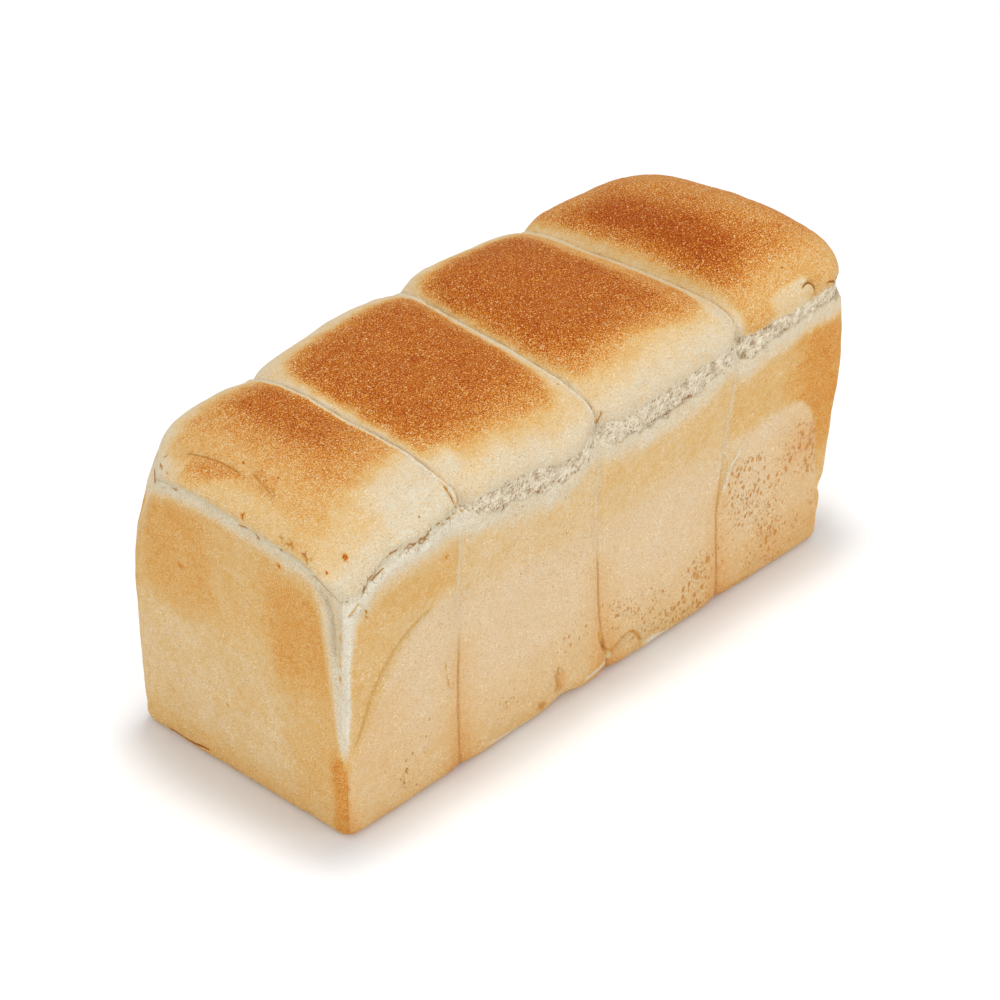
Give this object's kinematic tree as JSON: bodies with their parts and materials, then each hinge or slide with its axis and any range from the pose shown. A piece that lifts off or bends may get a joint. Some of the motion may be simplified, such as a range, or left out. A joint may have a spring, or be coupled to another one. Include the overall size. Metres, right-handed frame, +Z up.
{
  "type": "white tin loaf",
  "caption": "Uncut white tin loaf: long flat-sided bread with joined domes along its browned top and a torn band under the crown.",
  "frame": {"origin": "centre of the bounding box in plan, at the level of the flat underside", "axes": "+X along the loaf to the end with the highest dome, +Y across the loaf, +Z up out of the tin"},
  "size_m": [0.2844, 0.119, 0.1465],
  "materials": {
    "crust": "matte baked crust, red-brown on the domes, golden tan on the sides"
  },
  "bodies": {
    "root": {"loaf": "crust"}
  },
  "joints": []
}
